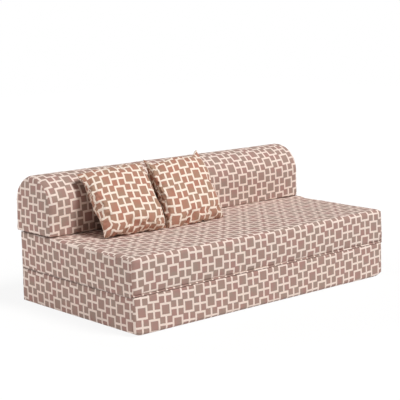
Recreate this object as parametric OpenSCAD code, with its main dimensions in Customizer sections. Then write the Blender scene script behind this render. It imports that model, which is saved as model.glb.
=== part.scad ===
// A folding foam sofa bed with two loose pillows.
// A seat slab lies folded on a base slab of the same size. The two are sewn together along the
// front, so the seat slab swings forward and lands beside the base slab as the other half of a bed.
// A rounded backrest is sewn to the rear edge of the seat slab and turns over to stand at the far end.
// Millimetres. X runs along the sofa, Y to the rear, Z up. The origin is on the floor, at the
// middle of the base slab.

/* [Overall size] */
// Length of the sofa from end to end
sofa_w = 1910; // [1500:10:2200]
// Depth of each slab, front to rear
slab_d = 983; // [800:1:1100]
// Thickness of each slab
slab_h = 203; // [150:1:260]

/* [Slab shape] */
// Radius of the seat slab's upper front edge
edge_r = 26; // [14:1:36]
// Radius of the long edges that lie on the other slab or under the backrest
crease_r = 10; // [6:1:14]
// Radius of the base slab's long edges at the floor
floor_r = 16; // [8:1:24]
// Rise of the seat's top from its ends and front to its middle
top_crown = 4; // [2:0.5:10]
// Bulge of the front faces
front_crown = 5; // [2:0.5:10]
// Length from each end over which these crowns build up
crown_run = 450; // [200:10:600]

/* [Ends] */
// Bulge of the end panels
end_crown = 6; // [3:0.5:12]
// How far the cover draws in on its way to the end seams
end_draw = 4; // [3:0.5:10]
// Length over which it draws in
end_round = 10; // [6:1:30]

/* [Backrest] */
// Depth of the backrest, front to rear
backrest_d = 324; // [240:2:360]
// Height of its upright sides, under the half-round top
backrest_side_h = 157; // [110:1:220]
// How far it overhangs the rear of the slabs
backrest_overhang = 38; // [20:1:60]
// Radius of its lower long edges
backrest_edge_r = 8; // [5:0.5:14]

/* [Cover and foam] */
// Thickness of the cover cloth
cloth_t = 1.5; // [0.8:0.1:3]
// Clearance between the foam and its cover
foam_gap = 0.3; // [0.1:0.05:0.8]
// Clearance between the edges of two cover panels at their seam
seam_gap = 0.1; // [0.05:0.05:0.3]
// Clearance between two cushions that lie on each other
rest_gap = 0.3; // [0.2:0.05:0.8]

/* [Fold] */
// Radius of the sewn roll along each fold line
roll_r = 2.5; // [1.5:0.25:3]
// Clearance round the sewn rolls and hinge flaps
roll_gap = 0.2; // [0.1:0.05:0.4]
// How far the hinge stitching stops short of the straight part of the edges
fold_margin = 2; // [1:1:40]

/* [Zips] */
// How far each zip stops short of the ends of the sofa
zip_margin = 105; // [60:5:300]
// Height of the two slab zips above the underside of their slab
slab_zip_z = 101; // [50:1:130]
// Height of the backrest's zip above its underside
backrest_zip_z = 48; // [30:1:90]
// Width of each half of the zip tape
zip_tape_w = 14; // [8:0.5:20]
// Thickness of the zip tape
zip_tape_t = 0.8; // [0.5:0.1:1.2]
// Width of the closed coil
zip_coil_w = 6; // [4:0.5:8]
// Thickness of the closed coil
zip_coil_t = 1.8; // [1:0.1:3]
// Clearance between the stitched layers of the zip
zip_lay_gap = 0.05; // [0.02:0.01:0.1]
// Length of the slider
slider_l = 12; // [8:1:18]
// Wall of the slider
slider_t = 1.2; // [0.8:0.1:2]
// Running clearance of the slider round the coil
slider_gap = 0.3; // [0.15:0.05:0.5]
// Length of the stops at both ends of the coil
zip_stop_l = 3; // [2:0.5:5]
// Radius of the slider's pin
pin_r = 0.7; // [0.5:0.05:1]
// Running clearance of the puller on its pin
pin_gap = 0.08; // [0.04:0.01:0.1]
// Length of the puller from its pin
puller_l = 24; // [15:1:35]
// Width of the puller
puller_w = 7; // [5:0.5:10]
// Thickness of the puller
puller_t = 1.2; // [0.8:0.1:1.6]

/* [Pillows] */
// Side of a pillow, between the tips of its corners
pillow_w = 420; // [350:5:500]
// Thickness of a pillow in its middle
pillow_t = 155; // [90:5:190]
// How far the middle of each side draws in from the line between the tips
pillow_draw = 12; // [4:1:20]
// Angle by which the left pillow leans back
left_lean = 38; // [28:1:42]
// Angle by which the right pillow leans back
right_lean = 30; // [24:1:42]
// Angle by which the left pillow is turned towards the left end
left_turn = 4.5; // [0:0.5:8]
// Centre of the left pillow from the left end of the sofa
pillow_inset = 409; // [300:1:640]
// Space between the two pillows along the sofa
pillow_space = 18; // [1:1:60]

/* [Hidden] */

// Levels and planes
seat_z = 2 * slab_h;
base_z1 = slab_h - rest_gap / 2;
seat_z0 = slab_h + rest_gap / 2;
slab_front = -slab_d / 2;
slab_rear = slab_d / 2;
rim_x = sofa_w / 2 - end_crown - cloth_t;
back_rear = slab_rear + backrest_overhang;
back_front = back_rear - backrest_d;
back_z0 = seat_z + rest_gap;
back_zc = back_z0 + backrest_side_h;
back_r = backrest_d / 2;
back_yc = back_rear - back_r;

// Fold lines: the front one between the slabs, the rear one under the backrest's rear edge
fold_y = slab_front - rest_gap / 2;
fold_z = slab_h;
back_fold_y = back_rear;
back_fold_z = seat_z + rest_gap / 2;
fold_l = 2 * (rim_x - end_round - fold_margin);

// Edge radii of the slabs: lower front, lower rear, upper rear, upper front
base_radii = [floor_r, floor_r, crease_r, crease_r];
seat_radii = [crease_r, crease_r, crease_r, edge_r];
// Smallest radius that an edge keeps where the cover draws in
least_r = 1;

// Sections along the cover, each with its place from the end seam, its share of end_draw
// and its share of the crown
end_steps = [[0, 1, 0], [0.3 * end_round, 0.32, 0], [end_round, 0, 0]];
crown_steps = [[0.42 * crown_run, 0, 0.6], [crown_run, 0, 1]];
half_steps = concat(end_steps, crown_steps);
// Rise of the top from the rear to the front: share of the depth from the front, share of the crown
top_rise = [[0.85, 1], [0.62, 1], [0.38, 1], [0.22, 0.8], [0.1, 0.45]];
// Rings of an end panel: inset as a share of its height, share of its bulge
panel_rings = [[0, 0], [0.17, 0.72], [0.34, 1]];
// How much the outer face of an end panel is smaller than its inner face
panel_bevel = 0.5;

base_color = [0.72, 0.58, 0.54];
foam_color = [0.93, 0.88, 0.70];
pillow_color = [0.72, 0.52, 0.42];
tape_color = [0.50, 0.38, 0.34];
metal_color = [0.66, 0.64, 0.60];
fibre_color = [0.95, 0.95, 0.94];

function arc(cy, cz, r, a0, a1, n) =
    [for (i = [0:n]) let (a = a0 + (a1 - a0) * i / n) [cy + r * cos(a), cz + r * sin(a)]];
function bump(t) = 1 - (2 * t - 1) * (2 * t - 1);
function flat(lists) = [for (l = lists) for (p = l) p];
function at_x(x, loop) = [for (p = loop) [x, p[0], p[1]]];

// Outline of a slab across X, from its lower front edge round to its front face.
// in is how far it lies inside the full outline, and k is its share of the crowns.
function slab_loop(z0, z1, crown, radii, in, k) =
    let (
        r = [for (q = radii) max(q - in, least_r)],
        yf = slab_front + front_crown + in,
        yr = slab_rear - in,
        zb = z0 + in,
        zf = z1 - crown - in,
        zr = zf + crown * k,
        low = zb + r[0],
        high = zf - r[3]
    )
    concat(
        arc(yf + r[0], zb + r[0], r[0], 180, 270, 3),
        [for (t = [0.34, 0.67]) [yf + (yr - yf) * t, zb]],
        arc(yr - r[1], zb + r[1], r[1], 270, 360, 3),
        [[yr, (zb + zr) / 2]],
        arc(yr - r[2], zr - r[2], r[2], 0, 90, 3),
        [for (q = top_rise) [yf + (yr - yf) * q[0], zf + crown * k * q[1]]],
        arc(yf + r[3], zf - r[3], r[3], 90, 180, 4),
        [for (t = [0.75, 0.5, 0.25]) [yf - front_crown * k * bump(t), low + (high - low) * t]]
    );
function base_loop(in, k) = slab_loop(0, base_z1, 0, base_radii, in, k);
function seat_loop(in, k) = slab_loop(seat_z0, seat_z, top_crown, seat_radii, in, k);

// Outline of the backrest across X: upright sides under a half-round top
function back_loop(in, k) =
    let (
        r = max(backrest_edge_r - in, least_r),
        yf = back_front + in,
        yr = back_rear - in,
        zb = back_z0 + in,
        mid = (zb + r + back_zc) / 2
    )
    concat(
        arc(yf + r, zb + r, r, 180, 270, 3),
        [[(yf + yr) / 2, zb]],
        arc(yr - r, zb + r, r, 270, 360, 3),
        [[yr, mid]],
        arc(back_yc, back_zc, back_r - in, 0, 180, 16),
        [[yf, mid]]
    );

// which: 0 base slab, 1 seat slab, 2 backrest
function loop_of(which, in, k) =
    which == 0 ? base_loop(in, k) : which == 1 ? seat_loop(in, k) : back_loop(in, k);
function ring_unit(which) = which == 2 ? backrest_d : slab_h;

// Sections of a cover from one end seam to the other, as [x, inset, crown share]
function sections(rim) =
    concat(
        [for (s = half_steps) [s[0] == 0 ? -rim : s[0] - rim_x, s[1] * end_draw, s[2]]],
        [for (i = [len(half_steps) - 1:-1:0]) let (s = half_steps[i])
            [s[0] == 0 ? rim : rim_x - s[0], s[1] * end_draw, s[2]]]
    );
function cover_loops(which, rim, more) =
    [for (s = sections(rim)) at_x(s[0], loop_of(which, s[1] + more, s[2]))];
function reversed(list) = [for (i = [len(list) - 1:-1:0]) list[i]];

// Triangles between loops of points. A round loft joins its last loop to its first,
// and any other has a flat cap at each end. A patch is cut along the same diagonal whether
// the loft runs up or down X there, so that layers laid on each other have the same facets.
function loft_faces(loops, round) =
    let (
        n = len(loops),
        m = len(loops[0])
    )
    concat(
        [for (i = [0:n - (round ? 1 : 2)]) for (j = [0:m - 1]) let (
            next = (i + 1) % n,
            a = i * m + j,
            b = i * m + (j + 1) % m,
            c = next * m + (j + 1) % m,
            d = next * m + j
        ) each loops[i][0][0] < loops[next][0][0] ? [[a, d, c], [a, c, b]] : [[a, d, b], [d, c, b]]],
        round ? [] : [for (j = [0:m - 1]) [n * m, j, (j + 1) % m]],
        round ? [] : [for (j = [0:m - 1]) [n * m + 1, (n - 1) * m + (j + 1) % m, (n - 1) * m + j]]
    );
function middle(loop) = [for (c = [0:2]) (min([for (p = loop) p[c]]) + max([for (p = loop) p[c]])) / 2];
module loft(loops, round = false) {
    mids = round ? [] : [middle(loops[0]), middle(loops[len(loops) - 1])];
    polyhedron(
        points = concat(flat(loops), mids),
        faces = loft_faces(loops, round),
        convexity = 6
    );
}

// Parts of the three cushions, where which is 0 for the base slab, 1 for the seat slab, 2 for the backrest

// The cover's long piece, one sleeve round the foam from end seam to end seam
module cover_wrap(which) {
    loft(concat(cover_loops(which, rim_x, 0), reversed(cover_loops(which, rim_x, cloth_t))), true);
}
module foam_core(which) {
    loft(cover_loops(which, rim_x - foam_gap, cloth_t + foam_gap));
}
// An end panel, bulging outwards from its seam
module cover_end(which, side) {
    inner = [for (q = panel_rings) at_x(
        rim_x + seam_gap + end_crown * q[1],
        loop_of(which, end_draw + ring_unit(which) * q[0], 0)
    )];
    outer = [for (q = panel_rings) at_x(
        rim_x + cloth_t + end_crown * q[1],
        loop_of(which, end_draw + panel_bevel + ring_unit(which) * q[0], 0)
    )];
    mirror([side < 0 ? 1 : 0, 0, 0]) loft(concat(reversed(inner), outer));
}

// Zips: a straight coil along a rear face, drawn round X with its face at y = 0
zip_l = sofa_w - 2 * zip_margin;
coil_y = 2 * zip_lay_gap + zip_tape_t;
coil_top = coil_y + zip_coil_t;
plate_y = coil_top + slider_gap;
plate_top = plate_y + slider_t;
channel_w = zip_coil_w + 2 * slider_gap;
slider_w = channel_w + 2 * slider_t;
// The puller's eye, its neck, and the slider's two lugs
eye_wall = 0.55;
eye_r = pin_r + pin_gap + eye_wall;
eye_w = 3.8;
neck_l = 2.6;
lug_gap = 0.2;
lug_t = 1.2;
lug_l = 3;
lug_wall = 0.4;
pin_y = plate_top + eye_r + lug_gap;
lug_top = pin_y + pin_r + lug_wall;
slider_end_gap = 0.5;
slider_x = zip_l / 2 - slider_l / 2 - slider_end_gap;
// How far the tape runs on past the stops
tape_tail = 4;
tape_l = zip_l + 2 * (zip_stop_l + tape_tail);

module across(length) {
    rotate([90, 0, 90]) translate([0, 0, -length / 2]) linear_extrude(length) children();
}
module zip_tape() {
    color(tape_color) for (z = [-zip_tape_w, zip_lay_gap]) across(tape_l)
        translate([zip_lay_gap, z]) square([zip_tape_t, zip_tape_w - zip_lay_gap]);
}
module zip_coil() {
    h = zip_coil_w / 2;
    c = 0.3 * zip_coil_t;
    color(tape_color) across(zip_l) polygon([
        [coil_y, -h], [coil_top - c, -h], [coil_top, -h + 2 * c],
        [coil_top, h - 2 * c], [coil_top - c, h], [coil_y, h]
    ]);
    color(metal_color) for (s = [-1, 1]) translate([s * (zip_l / 2 + zip_lay_gap + zip_stop_l / 2), 0, 0])
        translate([-zip_stop_l / 2, coil_y, -h]) cube([zip_stop_l, zip_coil_t, zip_coil_w]);
}
module zip_slider() {
    color(metal_color) difference() {
        union() {
            translate([-slider_l / 2, coil_y + zip_lay_gap, -slider_w / 2])
                cube([slider_l, plate_top - coil_y - zip_lay_gap, slider_w]);
            for (z = [-eye_w / 2 - lug_gap - lug_t, eye_w / 2 + lug_gap])
                translate([-lug_l / 2, plate_y, z]) cube([lug_l, lug_top - plate_y, lug_t]);
            translate([0, pin_y, 0])
                cylinder(r = pin_r, h = eye_w + 2 * lug_gap + lug_t, center = true, $fn = 32);
        }
        translate([-slider_l, 0, -channel_w / 2]) cube([2 * slider_l, plate_y, channel_w]);
    }
}
module zip_puller() {
    color(metal_color) translate([0, pin_y, 0]) difference() {
        union() {
            cylinder(r = eye_r, h = eye_w, center = true, $fn = 40);
            translate([0, -puller_t / 2, -eye_w / 2]) cube([neck_l, puller_t, eye_w]);
            translate([neck_l, -puller_t / 2, -puller_w / 2])
                cube([puller_l - neck_l - puller_w / 2, puller_t, puller_w]);
            translate([puller_l - puller_w / 2, 0, 0]) rotate([90, 0, 0])
                cylinder(r = puller_w / 2, h = puller_t, center = true, $fn = 40);
        }
        cylinder(r = pin_r + pin_gap, h = 2 * eye_w, center = true, $fn = 40);
        translate([puller_l - puller_w / 2, 0, 0]) rotate([90, 0, 0])
            cylinder(r = puller_w / 4, h = 2 * puller_t, center = true, $fn = 32);
    }
}
module on_rear(which) {
    y = which == 2 ? back_rear : slab_rear;
    z = which == 0 ? slab_zip_z : which == 1 ? slab_h + slab_zip_z : back_z0 + backrest_zip_z;
    translate([0, y, z]) children();
}

// A flap from the fold line towards an edge whose round is centred at c
module fold_flap(c, r) {
    a = [fold_y, fold_z];
    reach = norm(c - a);
    d = (c - a) / reach;
    n = [-d[1], d[0]] * cloth_t / 2;
    p = a + d * (roll_r + roll_gap);
    q = a + d * (reach - r - roll_gap);
    across(fold_l) polygon([p - n, q - n, q + n, p + n]);
}

// Pillows: a grid of points over a square whose sides draw in between its corner tips.
// The grid is finer towards the seams, where the cloth turns most.
grid = 12;
lap_low = 6;
lap_high = 7;
function grid_s(i) = sin(90 * (2 * i / grid - 1));
function dome(u, w) = sqrt(max((1 - pow(abs(u), 2.2)) * (1 - pow(abs(w), 2.2)), 0));
function drawn(u, w) = pillow_w / 2 * u - pillow_draw * pow(u, 3) * (1 - pow(w, 6));
dome_h = pillow_t / 2 - cloth_t - seam_gap;
// A point of the grid, out millimetres outside the inner face of the cover, to the front or rear
function pillow_point(i, j, out, way) =
    let (u = grid_s(i), w = grid_s(j))
    [drawn(u, w), way * (seam_gap + dome_h * dome(u, w) + out), drawn(w, u)];
function pillow_grid(i0, i1, j0, j1, outs, way) =
    [for (i = [i0:i1]) for (j = [j0:j1]) pillow_point(i, j, outs[j], way)];
// The upper back panel laps over the lower one between these rows
function even(out) = [for (j = [0:grid]) out];
function lapped(out) = [for (j = [0:grid]) out + (j <= lap_high ? cloth_t + seam_gap : 0)];

// Triangles of a sheet between two grids of points, the first towards the front
function sheet_faces(nu, nv) =
    let (
        m = nv + 1,
        half = (nu + 1) * m
    )
    concat(
        [for (i = [0:nu - 1]) for (j = [0:nv - 1]) let (a = i * m + j) each [
            [a, a + 1, a + m + 1], [a, a + m + 1, a + m],
            [half + a, half + a + m + 1, half + a + 1], [half + a, half + a + m, half + a + m + 1]
        ]],
        [for (j = [0:nv - 1]) let (a = j, b = nu * m + j) each [
            [a + 1, a, half + a], [a + 1, half + a, half + a + 1],
            [b, b + 1, half + b + 1], [b, half + b + 1, half + b]
        ]],
        [for (i = [0:nu - 1]) let (a = i * m, b = i * m + nv) each [
            [a, a + m, half + a + m], [a, half + a + m, half + a],
            [b + m, b, half + b], [b + m, half + b, half + b + m]
        ]]
    );
module sheet(i0, i1, j0, j1, front, rear) {
    polyhedron(points = concat(front, rear), faces = sheet_faces(i1 - i0, j1 - j0), convexity = 6);
}
module pillow_front() {
    sheet(0, grid, 0, grid, pillow_grid(0, grid, 0, grid, even(cloth_t), -1),
        pillow_grid(0, grid, 0, grid, even(0), -1));
}
module pillow_back_lower() {
    sheet(0, grid, 0, lap_high, pillow_grid(0, grid, 0, lap_high, even(0), 1),
        pillow_grid(0, grid, 0, lap_high, even(cloth_t), 1));
}
module pillow_back_upper() {
    sheet(0, grid, lap_low, grid, pillow_grid(0, grid, lap_low, grid, lapped(0), 1),
        pillow_grid(0, grid, lap_low, grid, lapped(cloth_t), 1));
}
module pillow_filling() {
    sheet(1, grid - 1, 1, grid - 1, pillow_grid(1, grid - 1, 1, grid - 1, even(-foam_gap), -1),
        pillow_grid(1, grid - 1, 1, grid - 1, even(-foam_gap), 1));
}

// Where a pillow lies: turned, leaning on the backrest and standing on the seat.
// Its skin gives how low and how far forward it must be moved to rest on both.
function turned(p, lean, turn) =
    let (
        y = p[1] * cos(lean) + p[2] * sin(lean),
        z = p[2] * cos(lean) - p[1] * sin(lean)
    )
    [p[0] * cos(turn) - y * sin(turn), p[0] * sin(turn) + y * cos(turn), z];
// The skin is sampled between the points of the grid too, because a flat facet can meet
// the round of the backrest between them
skin_steps = 6;
function skin_column(i, outs, way) =
    [for (j = [0:grid - 1]) for (t = [0:1 / skin_steps:1])
        pillow_point(i, j, outs[j], way) * (1 - t) + pillow_point(i, j + 1, outs[j + 1], way) * t];
function skin(lean, turn) =
    [for (i = [0:grid]) for (p = concat(
        skin_column(i, even(cloth_t), -1),
        skin_column(i, lapped(cloth_t), 1)
    )) turned(p, lean, turn)];
function lift_of(points) = back_z0 - min([for (p = points) p[2]]);
// Furthest y that a point at height z may reach before it meets the backrest
function room(z) =
    z < back_zc ? back_front - rest_gap :
    z < back_zc + back_r ? back_yc - sqrt(pow(back_r + rest_gap, 2) - pow(z - back_zc, 2)) : back_yc;
function place_of(points) =
    let (lift = lift_of(points))
    [0, min([for (p = points) room(p[2] + lift) - p[1]]), lift];

left_skin = skin(left_lean, -left_turn);
right_skin = skin(right_lean, 0);
pillow_x = pillow_inset - sofa_w / 2;
left_place = [pillow_x, 0, 0] + place_of(left_skin);
left_end = pillow_x + max([for (p = left_skin) p[0]]);
right_x = left_end + pillow_space - min([for (p = right_skin) p[0]]);
right_place = [right_x, 0, 0] + place_of(right_skin);

module left_pillow() {
    color(pillow_color) translate(left_place) rotate([0, 0, -left_turn]) rotate([-left_lean, 0, 0])
        children();
}
module right_pillow() {
    color(pillow_color) translate(right_place) rotate([-right_lean, 0, 0]) children();
}

// Base slab
module base_foam_core() { color(foam_color) foam_core(0); }
module base_cover_wrap() { color(base_color) cover_wrap(0); }
module base_cover_end_left() { color(base_color) cover_end(0, -1); }
module base_cover_end_right() { color(base_color) cover_end(0, 1); }
module base_zip_tape() { on_rear(0) zip_tape(); }
module base_zip_coil() { on_rear(0) zip_coil(); }
module base_zip_slider() { on_rear(0) translate([slider_x, 0, 0]) zip_slider(); }
module base_zip_puller() { on_rear(0) translate([slider_x, 0, 0]) zip_puller(); }

// Seat slab
module seat_foam_core() { color(foam_color) foam_core(1); }
module seat_cover_wrap() { color(base_color) cover_wrap(1); }
module seat_cover_end_left() { color(base_color) cover_end(1, -1); }
module seat_cover_end_right() { color(base_color) cover_end(1, 1); }
module seat_zip_tape() { on_rear(1) zip_tape(); }
module seat_zip_coil() { on_rear(1) zip_coil(); }
module seat_zip_slider() { on_rear(1) translate([slider_x, 0, 0]) zip_slider(); }
module seat_zip_puller() { on_rear(1) translate([slider_x, 0, 0]) zip_puller(); }

// Backrest
module backrest_foam_core() { color(foam_color) foam_core(2); }
module backrest_cover_wrap() { color(base_color) cover_wrap(2); }
module backrest_cover_end_left() { color(base_color) cover_end(2, -1); }
module backrest_cover_end_right() { color(base_color) cover_end(2, 1); }
module backrest_zip_tape() { on_rear(2) zip_tape(); }
module backrest_zip_coil() { on_rear(2) zip_coil(); }
module backrest_zip_slider() { on_rear(2) translate([slider_x, 0, 0]) zip_slider(); }
module backrest_zip_puller() { on_rear(2) translate([slider_x, 0, 0]) zip_puller(); }

// Sewn hinges
module front_hinge_roll() {
    color(tape_color) across(fold_l) translate([fold_y, fold_z]) circle(r = roll_r, $fn = 32);
}
module front_hinge_flap_lower() {
    color(tape_color) fold_flap([slab_front + front_crown + crease_r, base_z1 - crease_r], crease_r);
}
module front_hinge_flap_upper() {
    color(tape_color) fold_flap([slab_front + front_crown + crease_r, seat_z0 + crease_r], crease_r);
}
module rear_hinge_roll() {
    color(tape_color) across(fold_l) translate([back_fold_y, back_fold_z]) circle(r = roll_r, $fn = 32);
}
// A strip from the rounded rear edge of the seat's top to the fold line under the backrest
module rear_hinge_flap() {
    top = seat_z - seam_gap;
    low = top - cloth_t;
    y0 = slab_rear - crease_r + sqrt(pow(crease_r, 2) - pow(crease_r - seat_z + low, 2)) + roll_gap;
    y1 = back_fold_y - roll_r - roll_gap;
    color(tape_color) across(fold_l) translate([y0, low]) square([y1 - y0, cloth_t]);
}

// Pillows
module pillow_left_cover_front() { left_pillow() pillow_front(); }
module pillow_left_cover_back_lower() { left_pillow() pillow_back_lower(); }
module pillow_left_cover_back_upper() { left_pillow() pillow_back_upper(); }
module pillow_left_filling() { left_pillow() color(fibre_color) pillow_filling(); }
module pillow_right_cover_front() { right_pillow() pillow_front(); }
module pillow_right_cover_back_lower() { right_pillow() pillow_back_lower(); }
module pillow_right_cover_back_upper() { right_pillow() pillow_back_upper(); }
module pillow_right_filling() { right_pillow() color(fibre_color) pillow_filling(); }

base_foam_core();
base_cover_wrap();
base_cover_end_left();
base_cover_end_right();
base_zip_tape();
base_zip_coil();
base_zip_slider();
base_zip_puller();
seat_foam_core();
seat_cover_wrap();
seat_cover_end_left();
seat_cover_end_right();
seat_zip_tape();
seat_zip_coil();
seat_zip_slider();
seat_zip_puller();
backrest_foam_core();
backrest_cover_wrap();
backrest_cover_end_left();
backrest_cover_end_right();
backrest_zip_tape();
backrest_zip_coil();
backrest_zip_slider();
backrest_zip_puller();
front_hinge_roll();
front_hinge_flap_lower();
front_hinge_flap_upper();
rear_hinge_roll();
rear_hinge_flap();
pillow_left_cover_front();
pillow_left_cover_back_lower();
pillow_left_cover_back_upper();
pillow_left_filling();
pillow_right_cover_front();
pillow_right_cover_back_lower();
pillow_right_cover_back_upper();
pillow_right_filling();
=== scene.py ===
import math
import bpy
import numpy as np
from mathutils import Matrix, Vector


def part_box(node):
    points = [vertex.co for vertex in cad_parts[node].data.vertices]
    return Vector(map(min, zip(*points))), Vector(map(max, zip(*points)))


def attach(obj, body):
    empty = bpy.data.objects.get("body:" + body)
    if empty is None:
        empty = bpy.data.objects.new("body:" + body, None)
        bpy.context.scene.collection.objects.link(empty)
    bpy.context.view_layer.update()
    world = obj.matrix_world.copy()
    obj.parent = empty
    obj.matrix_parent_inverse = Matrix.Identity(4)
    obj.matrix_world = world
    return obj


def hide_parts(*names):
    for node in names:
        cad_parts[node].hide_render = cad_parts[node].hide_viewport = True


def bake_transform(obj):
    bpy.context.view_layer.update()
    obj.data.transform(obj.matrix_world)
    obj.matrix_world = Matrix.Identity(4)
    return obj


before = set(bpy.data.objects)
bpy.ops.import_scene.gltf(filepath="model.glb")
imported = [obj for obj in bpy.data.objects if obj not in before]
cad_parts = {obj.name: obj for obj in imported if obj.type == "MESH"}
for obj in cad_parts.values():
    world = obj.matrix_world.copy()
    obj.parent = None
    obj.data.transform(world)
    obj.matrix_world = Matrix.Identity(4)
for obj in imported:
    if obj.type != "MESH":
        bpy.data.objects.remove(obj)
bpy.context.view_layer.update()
scene = bpy.context.scene
scene.view_settings.view_transform = "Standard"

# A folding foam sofa bed: base slab, seat slab and backrest in one printed cloth, and two pillows.
# Metres, in the frame's own axes: X along the sofa, Y to the rear, Z up. Steps count mesh points.

# Camera, found from the sofa's edges in the photograph. Angles in degrees
CAMERA_PLACE = Vector((-4.5702, -5.0539, 1.6882))
CAMERA_YAW = 41.72
CAMERA_PITCH = 9.743
CAMERA_ROLL = -0.790
FOCAL_PX = 1213.7
IMAGE_PX = 400
SENSOR_MM = 36

# Lamps: place, the point it aims at, size, watts and colour
LAMPS = {
    "key": ((3.8, -13.0, 18.7), (0, 0, 0.4), 7.0, 4560, (1.0, 0.985, 0.97)),
    "fill": ((-5.6, 3.0, 0.9), (-0.95, 0, 0.35), 2.0, 132, (1.0, 0.96, 0.945)),
}
AMBIENT = 0.14

# Floor: half its side, its grey, and the share of white it shows, which grows to 1 farther away
FLOOR_HALF = 12.0
FLOOR_COLOUR = 0.76
FLOOR_GLOW = 1.05
FLOOR_LIFT = 0.86
FLOOR_NEAR = 1.2
FLOOR_FAR = 2.8

# Colours on a picture's scale, 0 to 255. A print has a ground, the colour it drifts to, and lines
COVER_COLOURS = ((176, 138, 129), (169, 145, 133), (247, 229, 218))
PILLOW_COLOURS = ((186, 131, 111), (176, 141, 119), (254, 239, 224))
TAPE_COLOURS = ((140, 110, 100), (156, 126, 114))
COIL_COLOURS = ((122, 92, 82), (136, 106, 95))
METAL_COLOURS = ((186, 178, 166), (160, 152, 142))

# The print: a lattice of lines one pitch apart, with a framed square on every other crossing.
# PRINT_BLUR and PRINT_WAVER are shares of the pitch
PITCH = 0.0778
SQUARE = 0.073
LINE = 0.0117
PRINT_BLUR = 0.011
PRINT_WAVER = 0.030
WEAVE = 0.0011

# The print on the front and on the ends of each cushion, as the function placed takes it
PRINTS = {
    "base": ((0.0773, 0.279, ((0.28, 0.181), (0.74, 0.168), (1.20, 0.172), (1.67, 0.190)), -0.043),
             (0.0778, 0.1003, ((0.05, 0.1434), (0.35, 0.1316), (0.65, 0.1248), (0.93, 0.1291)), -0.033)),
    "seat": ((0.0779, 0.2616,
              ((0.07, 0.293), (0.26, 0.2976), (0.73, 0.2866), (1.20, 0.292), (1.67, 0.310)), -0.040),
             (0.0765, 0.1845, ((0.05, 0.3348), (0.35, 0.3189), (0.65, 0.3073), (0.93, 0.3016)), -0.051)),
    "backrest": ((0.07797, 1.3443, ((0.02, 0.4765), (0.26, 0.4898), (1.23, 0.4824), (1.87, 0.5006)), -0.03),
                 (0.0769, 0.1798, ((0.03, 0.6466), (0.30, 0.6502)), 0.024)),
}

# Edges and crowns of the slabs and the backrest
EDGE_R = 0.026
CREASE_R = 0.0035
BASE_EDGE_R = 0.013
FLOOR_R = 0.019
BACKREST_EDGE_R = 0.008
TOP_CROWN = 0.004
FRONT_CROWN = {"base": 0.001, "seat": 0.0040}
CROWN_RUN = 0.45
CROWN_FRONT_SHARE = 0.38
CROWN_REAR_SHARE = 0.15

# Meshes of the cushions: the step along X, the places of the close rows beside an end seam, the gap
# after them, and the steps round each outline. A mark is the step of an arc that is a panel's corner
MESH_STEP = 0.010
SEAM_ROWS = (0, 0.0012, 0.0026, 0.0045, 0.007, 0.0105, 0.015, 0.021, 0.029)
SEAM_ROWS_GAP = 0.009
ARC_STEPS = 8
SLAB_SIDE_STEPS = 16
BACK_ARC_STEPS = 28
BACK_ARC_MARK = 20
BACK_SIDE_STEPS = 14
BACK_UNDER_STEPS = 32

# Ends: how the sleeve draws in and dips at its seam, and how the panel rises behind it and bulges
END_DRAW = 0.0070
END_ROUND = 0.024
SEAM_DIP = 0.0022
SEAM_WIDE = 0.003
END_RISE = 0.0042
END_RUN = 0.009
END_BULGE = 0.0030
END_UNEVEN = 0.10
END_UNEVEN_LENGTH = 0.22
END_RIPPLE = 0.0011
END_RIPPLE_LENGTH = 0.034
END_RIPPLE_REACH = 0.018
END_RIPPLE_START = 0.004
END_RIPPLE_LEAST = 0.6
TIGHT_SHARE = 0.06

# Shallow hollows of the cloth, as the depth and length of each kind, and how far some reach. Places round
# the outline times STRETCH draw hollows out. SEAM_APART sets the draws of the two ends apart
SLAB_HOLLOWS = ((0.0007, 0.30), (0.00025, 0.09))
BACK_HOLLOWS = ((0.0012, 0.34), (0.0003, 0.10))
FOOT_HOLLOWS = ((0.0012, 0.06),)
FOOT_REACH = 0.02
FOOT_STRETCH = 0.2
SEAM_HOLLOWS = ((0.0009, 0.028),)
SEAM_REACH = 0.016
SEAM_APART = 0.7
FOLD_HOLLOWS = ((0.0006, 0.085), (0.0004, 0.032))
FOLD_REACH = 0.010
FOLD_STRETCH = 0.3
END_FOLD_HOLLOWS = ((0.0004, 0.04),)
END_FOLD_REACH = 0.030
END_GATHER = 0.0042
END_GATHER_LENGTH = 0.10
END_GATHER_FROM = 0.25
WAVE_SIZES = (0.7, 1.6)

END_CURL = 0.022
END_CURL_RUN = 0.052
FOLD_TUCK = 0.0065
FOLD_TUCK_RUN = 0.020

# The backrest flattens the seat under it, and its own foot stays flat and tight
UNDER_BACK_GAP = 0.02
UNDER_BACK_RUN = 0.05
BACK_FOOT_H = 0.012
BACK_FOOT_RUN = 0.05
BACK_UNDER_TIGHT = 0.75

# Starts of the random draws. A slab has one for itself, one for its fold and one for its ends
SEEDS = {
    "base": (11, 71, 73), "seat": (21, 81, 83), "backrest": 91, "end_panel": 31, "end_ripple": 47,
    "front_hinge": 101, "rear_hinge": 103, "zip_tape": 111, "lap": 131, "left": 5, "right": 8,
}


# Small helpers

def smooth(t):
    """A step from 0 to 1 that starts and ends gently."""
    t = np.clip(t, 0, 1)
    return t * t * (3 - 2 * t)


def waves(seed, u, v, length, parts=7):
    """Smooth unevenness between -1 and 1 over u and v, with lumps about as long as length."""
    draw = np.random.default_rng(seed)
    total = np.zeros(np.broadcast(u, v).shape)
    for _ in range(parts):
        angle = draw.uniform(0, 2 * math.pi)
        size = length * draw.uniform(*WAVE_SIZES)
        phase = draw.uniform(0, 2 * math.pi)
        total += np.sin((math.cos(angle) * u + math.sin(angle) * v) * 2 * math.pi / size + phase)
    return total / (0.5 * parts)


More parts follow.
